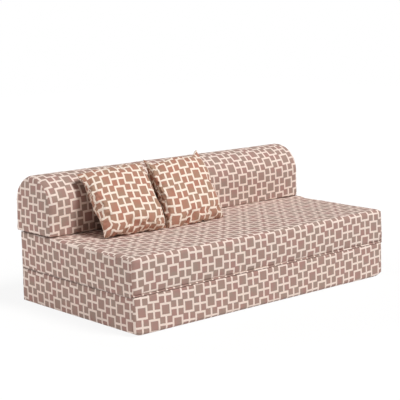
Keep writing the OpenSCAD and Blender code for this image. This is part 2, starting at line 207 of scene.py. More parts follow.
def hollows(seed, u, v, kinds):
    """Shallow hollows over u and v, where kinds gives the depth and length of each kind."""
    return sum(depth * (1 + waves(seed + n, u, v, length)) for n, (depth, length) in enumerate(kinds))


def mesh_object(name, points, faces, uvs=None):
    mesh = bpy.data.meshes.new(name)
    mesh.from_pydata([tuple(p) for p in points], [], [tuple(f) for f in faces])
    mesh.polygons.foreach_set("use_smooth", [True] * len(mesh.polygons))
    if uvs is not None:
        layer = mesh.uv_layers.new(name="cloth")
        layer.data.foreach_set("uv", np.asarray(uvs, np.float32).ravel())
    mesh.update()
    thing = bpy.data.objects.new(name, mesh)
    scene.collection.objects.link(thing)
    return thing


def dress(thing, material):
    thing.data.materials.clear()
    thing.data.materials.append(material)


# Ways round a cell of a grid, whose corners are numbered (0, 0), (1, 0), (1, 1), (0, 1)
ONWARD = (0, 1, 2, 3)
BACKWARD = (3, 2, 1, 0)
ROUND_FIRST = (0, 3, 2, 1)


def cells(grid, way_round):
    """The corners of every cell of a grid: faces from indices, or the faces' loops from coordinates."""
    corners = grid[:-1, :-1], grid[1:, :-1], grid[1:, 1:], grid[:-1, 1:]
    stacked = np.stack([corners[n] for n in way_round], 2)
    return stacked.reshape(-1, stacked.shape[-1])


def ring_index(rows, wide):
    """Indices of the points of rows of rings, with each ring's first point once more at its end."""
    index = np.arange(rows * wide).reshape(rows, wide)
    return np.concatenate([index, index[:, :1]], 1)


def lengths(points, axis=0):
    """How far each point lies along its row of points."""
    steps = np.linalg.norm(np.diff(points, axis=axis), axis=-1)
    return np.cumsum(np.insert(steps, 0, 0, axis), axis)


def filled(left, right, lower, upper, a, b):
    """A grid that runs smoothly between four borders, at the shares a across and b up."""
    a, b = a[:, None, None], b[None, :, None]
    return ((1 - a) * left[None] + a * right[None] + (1 - b) * lower[:, None] + b * upper[:, None]
            - (1 - a) * (1 - b) * left[0] - a * (1 - b) * right[0]
            - (1 - a) * b * left[-1] - a * b * right[-1])


def with_x(x, flat):
    """Rows of points (y, z), with the x of each row put before them."""
    return np.concatenate([np.broadcast_to(x[:, None, None], flat.shape[:2] + (1,)), flat], -1)


def placed(u, v, pitch, u0, lift, skew):
    """Print coordinates, one unit to a pitch, of the points (u, v) of a panel, which are in metres.
    u0 is a framed square's place along the panel. lift gives the height of that row of squares at some
    places along the panel, because the cloth was sewn on with a slight bow. skew leans the columns."""
    places, heights = zip(*lift)
    row = np.polyval(np.polyfit(places, heights, len(lift) - 1), u)
    return np.stack([(u - u0 - skew * (v - heights[0])) / pitch, (v - row) / pitch], -1)


# A cushion: a sleeve of cloth round the foam, closed by a panel at each end

base_low, base_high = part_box("base_cover_wrap")
seat_low, seat_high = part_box("seat_cover_wrap")
back_low, back_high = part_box("backrest_cover_wrap")
RIM = seat_high.x
FRONT = seat_low.y
BACK_R = (back_high.y - back_low.y) / 2


def outline(low, high, corners, lines, start_z):
    """Points and outward directions round a cushion, across X. It starts on the rear face at start_z and
    goes up, over the top, down the front and back underneath. corners are (radius, steps, mark) at the
    upper rear, upper front, lower front and lower rear. lines are the steps on the top, front, underside
    and rear."""
    (y0, z0), (y1, z1) = low, high
    points, ways, marks = [], [], []

    def line(ya, za, yb, zb, steps, way):
        for i in range(steps):
            t = i / steps
            points.append((ya + (yb - ya) * t, za + (zb - za) * t))
            ways.append(way)

    def arc(cy, cz, radius, start, steps, mark):
        marks.append(len(points) + mark)
        for i in range(steps):
            a = math.radians(start + 90 * i / steps)
            way = (math.cos(a), math.sin(a))
            points.append((cy + radius * way[0], cz + radius * way[1]))
            ways.append(way)

    (ra, na, ma), (rb, nb, mb), (rc, nc, mc), (rd, nd, md) = corners
    top_n, front_n, under_n, rear_n = lines
    line(y1, start_z, y1, z1 - ra, rear_n // 2, (1, 0))
    arc(y1 - ra, z1 - ra, ra, 0, na, ma)
    line(y1 - ra, z1, y0 + rb, z1, top_n, (0, 1))
    arc(y0 + rb, z1 - rb, rb, 90, nb, mb)
    line(y0, z1 - rb, y0, z0 + rc, front_n, (-1, 0))
    arc(y0 + rc, z0 + rc, rc, 180, nc, mc)
    line(y0 + rc, z0, y1 - rd, z0, under_n, (0, -1))
    arc(y1 - rd, z0 + rd, rd, 270, nd, md)
    line(y1, z0 + rd, y1, start_z, rear_n - rear_n // 2, (1, 0))
    return np.array(points), np.array(ways), marks


def stations(rim):
    """Places of a sleeve's rows along X, close together at the end seams."""
    close = np.array(SEAM_ROWS)
    inner = rim - close[-1] - SEAM_ROWS_GAP
    steps = int(round(2 * inner / MESH_STEP))
    return np.concatenate([-rim + close, np.linspace(-inner, inner, steps + 1), rim - close[::-1]])


def end_panel(ring, marks, row):
    """The panel that closes a sleeve at its row's ring of points. Returns a grid whose corners are the
    marks, the ring's place of each point on its border, or -1, and how far each point stands out."""
    ends = (*marks[1:], marks[0] + len(ring))
    upper, front, lower, rear = (np.arange(m, end + 1) % len(ring) for m, end in zip(marks, ends))
    front, lower = front[::-1], lower[::-1]

    def shares(side):
        along = lengths(ring[side])
        return along / along[-1]

    a = (shares(upper) + shares(lower)) / 2
    b = (shares(front) + shares(rear)) / 2
    grid = filled(ring[rear], ring[front], ring[lower], ring[upper], a, b)
    border = np.full(grid.shape[:2], -1)
    border[:, -1], border[-1], border[:, 0], border[0] = upper, front, lower, rear
    across = (a * np.ptp(ring[:, 0]))[:, None]
    upward = (b * np.ptp(ring[:, 1]))[None]
    to_sides = np.minimum(across, across[-1] - across)
    edge = np.minimum(to_sides, np.minimum(upward, upward[:, -1:] - upward))
    round_a = 1 - (2 * a[:, None] - 1) ** 4
    round_b = 1 - (2 * b[None] - 1) ** 4
    out = END_RISE * (1 - np.exp(-edge / END_RUN)) + END_BULGE * np.sqrt(np.clip(round_a * round_b, 0, 1))
    y, z = grid[..., 0], grid[..., 1]
    out = out * (1 + END_UNEVEN * waves(SEEDS["end_panel"] + row, y, z, END_UNEVEN_LENGTH))
    ripple = END_RIPPLE_LEAST + waves(SEEDS["end_ripple"] + row, y, z, END_RIPPLE_LENGTH)
    out = out - END_RIPPLE * ripple * np.exp(-edge / END_RIPPLE_REACH) * smooth(edge / END_RIPPLE_START)
    return grid, border, np.where(border >= 0, 0, out)


sleeves = {}


def cushion(name, low, high, corners, lines, shape):
    """Builds one cushion. shape gives how far each point of the sleeve lies inside the full outline."""
    wrap_print, end_print = PRINTS[name]
    start_z = sum(corner.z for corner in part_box(name + "_zip_tape")) / 2
    ring, ways, marks = outline(low[1:], high[1:], corners, lines, start_z)
    count = len(ring)
    xs = stations(high.x)
    x = xs[:, None]
    along = lengths(np.concatenate([ring, ring[:1]]))
    flat = ring - ways * shape(x, ring, ways, along[:-1])[..., None]
    points = with_x(xs, flat)
    sleeves[name] = (points, marks)
    # A sleeve's print is followed from the front face, where its height is z
    (ra, _, _), (rb, _, _) = corners[:2]
    top = max(high.y - low.y - ra - rb, 0)
    front_along = (high.z - ra - start_z) + math.pi / 2 * (ra + rb) + top
    height = high.z - rb + front_along - along
    verts = [points.reshape(-1, 3)]
    total = len(xs) * count
    faces = [cells(ring_index(len(xs), count), ROUND_FIRST)]
    uvs = [cells(placed(x + RIM, height, *wrap_print), ROUND_FIRST)]
    for side, row in ((-1, 0), (1, len(xs) - 1)):
        grid, border, out = end_panel(flat[row], marks, row)
        inner = border < 0
        index = np.where(inner, 0, row * count + border)
        index[inner] = total + np.arange(inner.sum())
        total += inner.sum()
        verts.append(np.concatenate([side * (high.x + out)[..., None], grid], -1)[inner])
        # Seen from +X the grid runs rear to front, which is to the left
        way_round = BACKWARD if side > 0 else ONWARD
        faces.append(cells(index, way_round))
        uvs.append(cells(placed(high.y - grid[..., 0], grid[..., 1], *end_print), way_round))
    return mesh_object(name + "_cushion", np.concatenate(verts), np.concatenate(faces), np.concatenate(uvs))


# How far a point of a sleeve lies inside its full outline. ways are the outline's outward directions

AHEAD, BEHIND, ABOVE, BELOW = (0, -1), (0, 1), (1, 1), (1, -1)


def facing(ways, direction):
    """How squarely outward directions face AHEAD, BEHIND, ABOVE or BELOW, from 0 to 1."""
    axis, sign = direction
    return np.clip(sign * ways[..., axis], 0, 1)


def end_in(x, along, seed):
    """Rounding towards the end seams, the dip of the seam itself and small puckers along it."""
    d = RIM - np.abs(x)
    rounding = END_DRAW * np.clip(1 - d / END_ROUND, 0, 1) ** 2 + SEAM_DIP * np.exp(-d / SEAM_WIDE)
    pucker = hollows(seed, along, np.sign(x) * SEAM_APART, SEAM_HOLLOWS) * np.exp(-d / SEAM_REACH)
    return rounding + pucker * smooth(d / SEAM_WIDE)


def curl(x, z, ways):
    """The underside of the base curls up at its ends."""
    return END_CURL * facing(ways, BELOW) * np.clip(1 - (RIM - np.abs(x)) / END_CURL_RUN, 0, 1) ** 2


def tuck(x, z, ways):
    """The fold holds the seat's lower front edge back."""
    return FOLD_TUCK * facing(ways, AHEAD) * np.exp(-(z - seat_low.z) / FOLD_TUCK_RUN)


def slab_shape(name, low, high, bare_top, fold_z, other, own):
    """The shape of a slab's sleeve. bare_top is 1 if the top is bare, fold_z is the fold's height, other
    is the direction of the other slab, and own is a form that only this slab has."""
    seed, fold_seed, ends_seed = SEEDS[name]

    def meeting(x, y, z, ways, along):
        """Puckers where the slabs meet: along the fold, which is sewn down, and at the ends."""
        d, end = np.hypot(y - FRONT, z - fold_z), np.sign(x)
        fold = hollows(fold_seed, x, along * FOLD_STRETCH, FOLD_HOLLOWS) * np.exp(-d / FOLD_REACH)
        gather = END_GATHER * np.clip(waves(ends_seed, y, end, END_GATHER_LENGTH) - END_GATHER_FROM, 0, None)
        small = hollows(ends_seed + 1, y, end, END_FOLD_HOLLOWS)
        return fold + (gather + small) * facing(ways, other) * np.exp(-(RIM - np.abs(x)) / END_FOLD_REACH)

    def shape(x, ring, ways, along):
        y, z = ring.T
        share = smooth((RIM - np.abs(x)) / CROWN_RUN)
        t = (z - low.z) / (high.z - low.z)
        f = (y - low.y) / (high.y - low.y)
        bulge = 1 - (2 * t - 1) ** 2
        crown = smooth(f / CROWN_FRONT_SHARE) * smooth((1 - f) / CROWN_REAR_SHARE)
        front, top = facing(ways, AHEAD), bare_top * facing(ways, ABOVE)
        inward = front * FRONT_CROWN[name] * (1 - share * bulge) + top * TOP_CROWN * (1 - share * crown)
        # Cloth that lies on something flat isn't loose
        loose = front + facing(ways, BEHIND)
        loose = loose + top * smooth((back_low.y - UNDER_BACK_GAP - y) / UNDER_BACK_RUN)
        inward = inward + end_in(x, along, seed + 2) * (TIGHT_SHARE + (1 - TIGHT_SHARE) * loose)
        inward = inward + hollows(seed, x, along, SLAB_HOLLOWS) * loose
        return inward + (meeting(x, y, z, ways, along) + own(x, z, ways))
    return shape


def backrest_shape(x, ring, ways, along):
    y, z = ring.T
    seed = SEEDS["backrest"]
    above = smooth((z - back_low.z - BACK_FOOT_H) / BACK_FOOT_RUN)
    d = np.hypot(y - back_low.y, z - back_low.z)
    foot = hollows(seed + 3, x, along * FOOT_STRETCH, FOOT_HOLLOWS) * np.exp(-d / FOOT_REACH)
    ends = end_in(x, along, seed + 2) * (1 - BACK_UNDER_TIGHT * facing(ways, BELOW))
    return ends + hollows(seed, x, along, BACK_HOLLOWS) * above + foot


def rolled(*radii):
    """An outline's corners with the given radii, each with its mark in the middle."""
    return [(radius, ARC_STEPS, ARC_STEPS // 2) for radius in radii]


slab_steps = int((seat_high.y - seat_low.y) / MESH_STEP)
slab_lines = (slab_steps, SLAB_SIDE_STEPS, slab_steps, SLAB_SIDE_STEPS)
back_arcs = [(BACK_R, BACK_ARC_STEPS, mark) for mark in (BACK_ARC_STEPS - BACK_ARC_MARK, BACK_ARC_MARK)]
cushion_facts = {
    "base": (base_low, base_high, rolled(CREASE_R, BASE_EDGE_R, FLOOR_R, FLOOR_R), slab_lines,
             slab_shape("base", base_low, base_high, 0, base_high.z, ABOVE, curl)),
    "seat": (seat_low, seat_high, rolled(CREASE_R, EDGE_R, CREASE_R, CREASE_R), slab_lines,
             slab_shape("seat", seat_low, seat_high, 1, seat_low.z, BELOW, tuck)),
    "backrest": (back_low, back_high, back_arcs + rolled(BACKREST_EDGE_R, BACKREST_EDGE_R),
                 (0, BACK_SIDE_STEPS, BACK_UNDER_STEPS, BACK_SIDE_STEPS), backrest_shape),
}
cushions = {name: cushion(name, *facts) for name, facts in cushion_facts.items()}


# Pillows: two square panels sewn together all round and blown up as cloth

PILLOW_SIDE = 0.420
PILLOW_T = 0.155
PILLOW_CLOTH = 0.452
PILLOW_HALF = PILLOW_SIDE / 2
# How far each pillow leans back and is turned to the left, in degrees
PILLOW_ANGLES = {"left": (38, -4.5), "right": (30, 0)}

SIM_GRID = 48
SIM_FRAMES = 26
SIM_DOME = 0.012
SIM_UNEVEN = 0.0012
SIM_UNEVEN_LENGTH = 0.06
SIM_SETTINGS = {
    "quality": 6, "mass": 0.25, "tension_stiffness": 40, "compression_stiffness": 40,
    "shear_stiffness": 12, "bending_stiffness": 0.35, "air_damping": 2, "use_pressure": True,
    "uniform_pressure_force": 6.0,
}

# How full the pillows are: the power of the rise, what it gains at the left seam, and how far the
# filling has settled
FLATNESS = 1.25
STEEPER = {"left": 0.1, "right": -0.35}
SETTLED = 0.10
# For each pillow: place of a framed square on the front, slants of the columns and rows, the two pitches
PILLOW_PRINTS = {
    "left": (0.0240, -0.0680, 0.120, 0.031, 0.0745, 0.0845),
    "right": (-0.0110, -0.0204, 0.125, 0.037, 0.0768, 0.0803),
}
REAR_PRINT_SHIFT = 0.37
# How far each side is drawn in near its two corners: left, right, lower, upper. A side's draw is full
# along DRAW_FULL of its half length and ends within DRAW_FADE of it
PILLOW_DRAWS = {
    "left": ((0.010, 0.018), (0.005, 0.003), (0.009, 0.009), (-0.012, -0.012)),
    "right": ((0.002, 0.008), (0.004, 0.004), (0.002, 0.002), (0.037, 0.029)),
}
DRAW_DECAY = 3
DRAW_FULL = 0.74
DRAW_FADE = 0.26
# Dents of the front: place across and up from the middle, radii across and up, and depth
PILLOW_DENTS = {
    "left": ((-0.176, -0.110, 0.020, 0.010, 0.28), (-0.055, -0.172, 0.009, 0.014, 0.24),
             (0.055, -0.175, 0.009, 0.014, 0.20), (0.130, -0.172, 0.009, 0.014, 0.20)),
    "right": ((-0.168, 0.118, 0.016, 0.008, 0.32), (-0.010, -0.172, 0.009, 0.014, 0.25),
              (0.060, -0.175, 0.008, 0.014, 0.24), (0.140, -0.168, 0.010, 0.014, 0.22),
              (0.150, 0.165, 0.016, 0.010, 0.20)),
}
# How far the left seam lies forward of the pillow's plane: at its foot, middle and head
PILLOW_FORWARD = {"left": (0.004, 0.050, -0.006), "right": (0.012, 0.034, 0.000)}
# How far each pillow's foot lies forward of a plane pillow's
PILLOW_FOOT = {"left": 0.0, "right": 0.028}
# How far each corner lies off a true square's: lower left, lower right, upper left, upper right
PILLOW_CORNERS = {
    "left": ((0.002, 0.000), (-0.009, 0.000), (-0.016, -0.022), (0.006, -0.002)),
    "right": ((-0.022, -0.022), (-0.012, -0.002), (0.003, -0.014), (0.000, 0.004)),
}

# Gathers along the seam, with the depth, length and reach of each kind. Puffs stand out, ripples bend
# the seam, and draws pull it in. Nothing gathers right at the tips, nor on the seam itself
BROAD_PUFFS = (0.0048, 0.050, 0.030)
FINE_PUFFS = (0.0042, 0.026, 0.014)
SEAM_RIPPLES = (0.0024, 0.045, 0.020)
SEAM_DRAWS = (0.0030, 0.036, 0.016)
GATHER_PARTS = 5
TIP_CALM = 0.05
PUFF_START = 0.008

# Contact: how softly the pillows flatten, and their gaps to the seat and the backrest
CONTACT_SOFT = 0.002
SEAT_GAP = 0.0002
BACK_GAP = 0.0008
# Past this the soft contact is as good as straight, and its exponential would grow too large
CONTACT_FAR = 20


def panel_grid(count):
    g = np.linspace(-PILLOW_CLOTH / 2, PILLOW_CLOTH / 2, count + 1)
    return np.meshgrid(g, g, indexing="ij")


def pillow_mesh(name, front, rear, uvs=None):
    """A closed mesh of two grids of points that share their border."""
    count = front.shape[0]
    inner = np.zeros((count, count), bool)
    inner[1:-1, 1:-1] = True
    front_index = np.arange(count ** 2).reshape(count, count)
    rear_index = front_index.copy()
    rear_index[inner] = count ** 2 + np.arange(inner.sum())
    points = np.concatenate([front.reshape(-1, 3), rear[inner]])
    faces = np.concatenate([cells(front_index, ONWARD), cells(rear_index, BACKWARD)])
    loops = uvs and np.concatenate([cells(uvs[0], ONWARD), cells(uvs[1], BACKWARD)])
    return mesh_object(name, points, faces, loops), rear_index


def blown(name, seed):
    """Sews two flat panels together, blows them up as cloth and returns their points."""
    a, b = panel_grid(SIM_GRID)
    half = PILLOW_CLOTH / 2
    dome = SIM_DOME * (1 - (a / half) ** 2) * (1 - (b / half) ** 2)
    uneven = SIM_UNEVEN * waves(seed, a, b, SIM_UNEVEN_LENGTH)
    thing, rear_index = pillow_mesh(
        name, np.stack([a, uneven - dome, b], -1), np.stack([a, uneven + dome, b], -1))
    cloth = thing.modifiers.new("cloth", "CLOTH")
    for setting, value in SIM_SETTINGS.items():
        setattr(cloth.settings, setting, value)
    cloth.settings.effector_weights.gravity = 0
    cloth.collision_settings.use_collision = False
    cloth.collision_settings.use_self_collision = False
    cloth.point_cache.frame_start = scene.frame_start = 1
    cloth.point_cache.frame_end = scene.frame_end = SIM_FRAMES
    for step in range(1, SIM_FRAMES + 1):
        scene.frame_set(step)
    done = bpy.data.meshes.new_from_object(thing.evaluated_get(bpy.context.evaluated_depsgraph_get()))
    points = np.array([v.co for v in done.vertices])
    scene.frame_set(1)
    bpy.data.meshes.remove(done)
    bpy.data.objects.remove(thing)
    count = SIM_GRID + 1
    return points[:count ** 2].reshape(count, count, 3), points[rear_index]


def trued(panels, draws, corners):
    """Moves the seam to the pillow's real outline and takes both panels along. The seam's own ripples,
    which the cloth made, stay."""
    t = np.linspace(-1, 1, SIM_GRID + 1)
    tips = dict(zip(((-1, -1), (1, -1), (-1, 1), (1, 1)), corners))
    plateau = 1 - smooth((np.abs(t) - DRAW_FULL) / DRAW_FADE)
    even = np.linspace(0, 1, len(t))
    near = even ** DRAW_DECAY
    moves = []
    drawn = np.zeros((len(t), len(t), 3))
    grid = panels[0]
    borders = grid[0], grid[-1], grid[:, 0], grid[:, -1]
    for border, draw, (sx, sz) in zip(borders, draws, ((-1, 0), (1, 0), (0, -1), (0, 1))):
        # The seam without its ripples is a straight line and a polynomial that is 0 at both tips
        straight = border[0] + (border[-1] - border[0]) * (t[:, None] + 1) / 2
        shape = (1 - t ** 2)[:, None] * t[:, None] ** np.arange(5)
        fitted = straight + shape @ np.linalg.lstsq(shape, border - straight, rcond=None)[0]
        ends = np.array([tips[(sx or end, sz or end)] for end in (-1, 1)])
        off = ends[0] + (ends[1] - ends[0]) * smooth((t[:, None] + 1) / 2)
        wanted = np.zeros((len(t), 3))
        wanted[:, 0] = PILLOW_HALF * (sx or t) + off[:, 0]
        wanted[:, 2] = PILLOW_HALF * (sz or t) + off[:, 1]
        moves.append(wanted - fitted)
        inward = plateau * (draw[0] + (draw[1] - draw[0]) * (t + 1) / 2)
        toward = near if sx + sz > 0 else near[::-1]
        if sx:
            drawn[..., 0] -= sx * toward[:, None] * inward[None]
        else:
            drawn[..., 2] -= sz * inward[:, None] * toward[None]
    move = filled(*moves, even, even) + drawn
    return [panel + move for panel in panels]


def arc_places(panel):
    """How far each point of a panel lies from the panel's middle lines, measured along the cloth."""
    middle = len(panel) // 2
    a, b = lengths(panel, 0), lengths(panel, 1)
    return a - a[middle], b - b[:, [middle]]


def finer(grid):
    """Puts a point between every two of a grid, on a smooth curve through its neighbours."""
    for axis in (0, 1):
        grid = np.moveaxis(grid, axis, 0)
        before = np.concatenate([2 * grid[:1] - grid[1:2], grid[:-2]])
        after = np.concatenate([grid[2:], 2 * grid[-1:] - grid[-2:-1]])
        between = (9 * (grid[:-1] + grid[1:]) - before - after) / 16
        full = np.empty((2 * len(grid) - 1,) + grid.shape[1:])
        full[::2], full[1::2] = grid, between
        grid = np.moveaxis(full, 0, axis)
    return grid


def fill_up(panels, side):
    """Gives the panels their depth, the front's dents and the left seam's sweep forward."""
    foot, middle, head = PILLOW_FORWARD[side]
    for panel, way in zip(panels, (-1, 1)):
        x, y, z = np.moveaxis(panel, -1, 0)
        rise = np.clip(way * y / np.max(way * y), 0, 1)
        steep = FLATNESS + STEEPER[side] * smooth(-x / PILLOW_HALF) * (way < 0)
        full = 1 - (1 - rise) ** steep
        for across, up, wide, tall, depth in PILLOW_DENTS[side] if way < 0 else ():
            full = full * (1 - depth * np.exp(-(((x - across) / wide) ** 2 + ((z - up) / tall) ** 2)))
        t = np.clip(z / PILLOW_HALF, -1, 1)
        sweep = middle + (head - foot) / 2 * t + ((head + foot) / 2 - middle) * t ** 2
        panel[..., 1] = (way * PILLOW_T / 2 * full * (1 - SETTLED * z / PILLOW_HALF)
                         - sweep * np.clip(-x / PILLOW_HALF, 0, 1) ** 3)


def puckered(panels, seed):
    """Gathers along the seam, where the thread draws the cloth together."""
    a, b = panel_grid(2 * SIM_GRID)
    half = PILLOW_CLOTH / 2
    to_side, to_end = half - np.abs(a), half - np.abs(b)
    edge = np.minimum(to_side, to_end)
    at_side = to_side < to_end
    # Each side takes its gathers from a place of its own
    place = np.where(at_side, b + 3 * np.sign(a), a + 7 * np.sign(b))
    calm = smooth((to_side + to_end) / TIP_CALM)

    def gathers(start, depth, length, reach):
        return depth * (waves(start, place, 0 * a, length, GATHER_PARTS) * np.exp(-edge / reach))

    both = gathers(seed, *BROAD_PUFFS) + gathers(seed + 3, *FINE_PUFFS)
    puffs = calm * smooth(edge / PUFF_START) * both
    ripple = calm * gathers(seed + 1, *SEAM_RIPPLES)
    draw = calm * gathers(seed + 2, *SEAM_DRAWS)
    for panel, way in zip(panels, (-1, 1)):
        panel[..., 1] += ripple + way * puffs
        panel[..., 0] -= draw * np.sign(a) * at_side
        panel[..., 2] -= draw * np.sign(b) * ~at_side


def rest_on(world):
    """Lays a pillow's points on the seat and against the backrest, which flatten it."""
    floor_z = seat_high.z + SEAT_GAP
    above = (world[..., 2] - floor_z) / CONTACT_SOFT
    eased = np.log1p(np.exp(np.minimum(above, CONTACT_FAR)))
    world[..., 2] = floor_z + CONTACT_SOFT * np.where(above > CONTACT_FAR, above, eased)
    height = world[..., 2] - (back_high.z - BACK_R)
    round_y = back_high.y - BACK_R - np.sqrt(np.clip(BACK_R ** 2 - height ** 2, 0, None))
    room = np.where(height < 0, back_low.y, round_y)
    room = np.where(height > BACK_R, np.inf, room) - BACK_GAP
    world[..., 1] = np.minimum(world[..., 1], room)
    return world


def set_down(panels, side):
    """Leans and turns the panels as the CAD pillow is, and puts them in its place."""
    lean, turn = (math.radians(angle) for angle in PILLOW_ANGLES[side])
    turned = np.array(Matrix.Rotation(turn, 3, "Z") @ Matrix.Rotation(-lean, 3, "X"))
    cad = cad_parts[f"pillow_{side}_cover_front"].data
    local = np.array([v.co for v in cad.vertices]) @ turned
    middle = (local.max(0) + local.min(0)) / 2
    middle[1] = local[:, 1].max()
    down = []
    for panel in panels:
        world = (panel + middle) @ turned.T
        height = (world[..., 2] - seat_high.z) / (PILLOW_SIDE * math.cos(lean))
        world[..., 1] -= PILLOW_FOOT[side] * (1 - np.clip(height, 0, 1))
        down.append(rest_on(world))
    return down


def pillow(side):
    """Builds one pillow and returns it with the points of its rear panel."""
    name = f"pillow_{side}_cushion"
    seed = SEEDS[side]
    panels = trued(blown(name, seed), PILLOW_DRAWS[side], PILLOW_CORNERS[side])
    panels = [finer(panel) for panel in panels]
    fill_up(panels, side)
    a, b = arc_places(panels[0])
    puckered(panels, seed)
    front, rear = set_down(panels, side)
    a0, b0, slant_a, slant_b, pitch_a, pitch_b = PILLOW_PRINTS[side]
    a, b = a - a0, b - b0
    print_at = np.stack([(a - slant_a * b) / pitch_a, (b + slant_b * a) / pitch_b], -1)
    thing, _ = pillow_mesh(name, front, rear, (print_at, print_at * (-1, 1) + REAR_PRINT_SHIFT))
    return thing, rear


pillows = {side: pillow(side) for side in ("left", "right")}


# The upper rear panel of a pillow laps over the lower one and ends in a hem. Widths across the lap are
# in steps of its grid, counted from its lower edge

LAP_START = 0.44
LAP_LIFT = 0.0016
LAP_FADE = 5
# The hem and its stitches: height, place and width
HEM = ((0.0010, 1.2, 1.4), (-0.0006, 4.0, 0.6))
LAP_RIPPLE = 0.0009
LAP_RIPPLE_LENGTH = 0.05
LAP_RIPPLE_REACH = 6
LAP_SIZE = (0.42, 0.24)
LAP_EDGE_FADE = 3
LAP_TURN = 0.002
LAP_PRINT_SHIFT = 0.2


def lap(side, rear):
    """The lap of a pillow. Its lower edge is turned under and meets the lower panel."""
    first = int(len(rear) * LAP_START)
    inner = slice(1, -1), slice(first, -1)
    way = np.cross(np.gradient(rear, axis=1), np.gradient(rear, axis=0))
    way /= np.linalg.norm(way, axis=-1, keepdims=True) + 1e-12
    m, n = rear[inner].shape[:2]
    a = np.linspace(0, 1, m)[:, None]
    b = np.linspace(0, 1, n)[None]
    near = np.minimum(np.minimum(a, 1 - a) * m, (1 - b) * n)
    relief = sum(height * np.exp(-((b * n - at) / wide) ** 2) for height, at, wide in HEM)
    ripple = waves(SEEDS["lap"], a * LAP_SIZE[0], b * LAP_SIZE[1], LAP_RIPPLE_LENGTH)
    relief = relief + LAP_RIPPLE * ripple * np.exp(-b * n / LAP_RIPPLE_REACH)
    lift = LAP_LIFT * smooth(near / LAP_FADE) + relief * smooth(near / LAP_EDGE_FADE)
    top = rear[inner] + way[inner] * lift[..., None]
    points = np.concatenate([top.reshape(-1, 3), rear[1:-1, first]])
    index = np.arange(m * n).reshape(m, n)
    turn = np.stack([m * n + np.arange(m), index[:, 0]], 1)
    a, b = (values[inner] for values in arc_places(rear))
    uv = np.stack([-a, b], -1) / PITCH + LAP_PRINT_SHIFT
    rim_uv = np.stack([-a[:, 0], b[:, 0] - LAP_TURN], -1) / PITCH + LAP_PRINT_SHIFT
    under = (1, 2, 3, 0)
    return mesh_object(
        f"pillow_{side}_lap", points, np.concatenate([cells(index, BACKWARD), cells(turn, under)]),
        np.concatenate([cells(uv, BACKWARD), cells(np.stack([rim_uv, uv[:, 0]], 1), under)]))


# Sewn hinges: strips of cloth along the front fold and under the rear edge of the backrest

INNER_ROWS = slice(len(SEAM_ROWS), -len(SEAM_ROWS))
# Steps of the slabs' outlines that the front hinge covers, counted from the marks beside the fold
LOWER_FLAP = (-5, -1)
UPPER_FLAP = (5, 9)
BEAD = 0.0022
BEAD_ANGLES = (-60, -20, 20, 60)
FRONT_HINGE_T = 0.0007
HINGE_SWAY = 0.0004
# The row of points whose fold height is taken for the whole fold, and half the height of the bend
FOLD_ROW = 51
REAR_HINGE_T = 0.0012
# The rear hinge: flap points as places behind the seat and heights above the fold, the last flap
# points before the fold line, the bend's radii and angles, and points up the backrest
REAR_FLAP = ((-0.004, -0.0007), (0.004, -0.0009), (0.014, -0.0009), (0.026, -0.0009))
REAR_FOLD = ((-0.004, -0.0010), (-0.0012, -0.0014))
REAR_BEND = (0.0009, 0.0014)
REAR_BEND_ANGLES = (-50, 0, 50)
REAR_UP = ((0.0004, 0.0030), (0.0005, 0.0060), (0.0004, 0.0090))


def strip(name, rows, across=None, scale=1.0):
    """A skin over rows of points. Each row is a closed profile across the strip. Its texture coordinates
    are metres along it and round its profile, or the given places across it, divided by scale."""
    count, wide = rows.shape[:2]
    ring = np.concatenate([rows, rows[:, :1]], 1)
    v = lengths(ring, 1) if across is None else np.concatenate([across, across[:, :1]], 1)
    u = np.broadcast_to(rows[:, :1, 0], v.shape)
    both = np.stack([u, v], -1) / scale
    faces = [tuple(q) for q in cells(ring_index(count, wide), ROUND_FIRST)]
    faces += [tuple(range(wide))[::-1], tuple((count - 1) * wide + n for n in range(wide))]
    loops = np.concatenate([cells(both, ROUND_FIRST), both[0, :wide][::-1], both[-1, :wide]])
    return mesh_object(name, rows.reshape(-1, 3), faces, loops)


def thickened(path, thickness):
    """A closed profile round a path across a strip, thickness wide, on the path's left."""
    step = np.gradient(path, axis=1)
    way = np.stack([-step[..., 1], step[..., 0]], -1)
    way /= np.linalg.norm(way, axis=-1, keepdims=True)
    return np.concatenate([path, (path + way * thickness)[:, ::-1]], 1)


def front_hinge():
    """From the base's upper edge to the fold line and back to the seat's lower edge. The print is laid
    out for the opened bed, where the strip bridges the gap between the slabs. Returns the fold's height
    too."""
    points, marks = sleeves["base"]
    other, other_marks = sleeves["seat"]
    x = points[INNER_ROWS, 0, 0]
    lower = points[INNER_ROWS, marks[1] + LOWER_FLAP[0]:marks[1] + LOWER_FLAP[1], 1:]
    upper = other[INNER_ROWS, other_marks[2] + UPPER_FLAP[0]:other_marks[2] + UPPER_FLAP[1], 1:]
    sway = HINGE_SWAY * waves(SEEDS["front_hinge"], x, 0 * x, 0.05)
    start, end = lower[:, -1], upper[:, 0]
    middle = (start + end) / 2
    half = (end[:, 1] - start[:, 1]) / 2
    bead = []
    for angle in BEAD_ANGLES:
        q = math.radians(angle)
        y = np.maximum(start[:, 0], end[:, 0]) - BEAD * math.cos(q) + sway
        bead.append(np.stack([y, middle[:, 1] + half * math.sin(q)], -1))
    path = np.concatenate([lower, np.stack(bead, 1), upper], 1)
    depth = path[..., 0] - FRONT
    on_base = np.arange(path.shape[1]) < lower.shape[1] + len(BEAD_ANGLES) // 2
    across = base_high.z + np.where(on_base, depth, -depth)
    across = np.concatenate([across, across[:, ::-1]], 1)
    rows = with_x(x, thickened(path, -FRONT_HINGE_T))
    return strip("front_hinge_cloth", rows, across=across, scale=PITCH), middle[FOLD_ROW, 1]


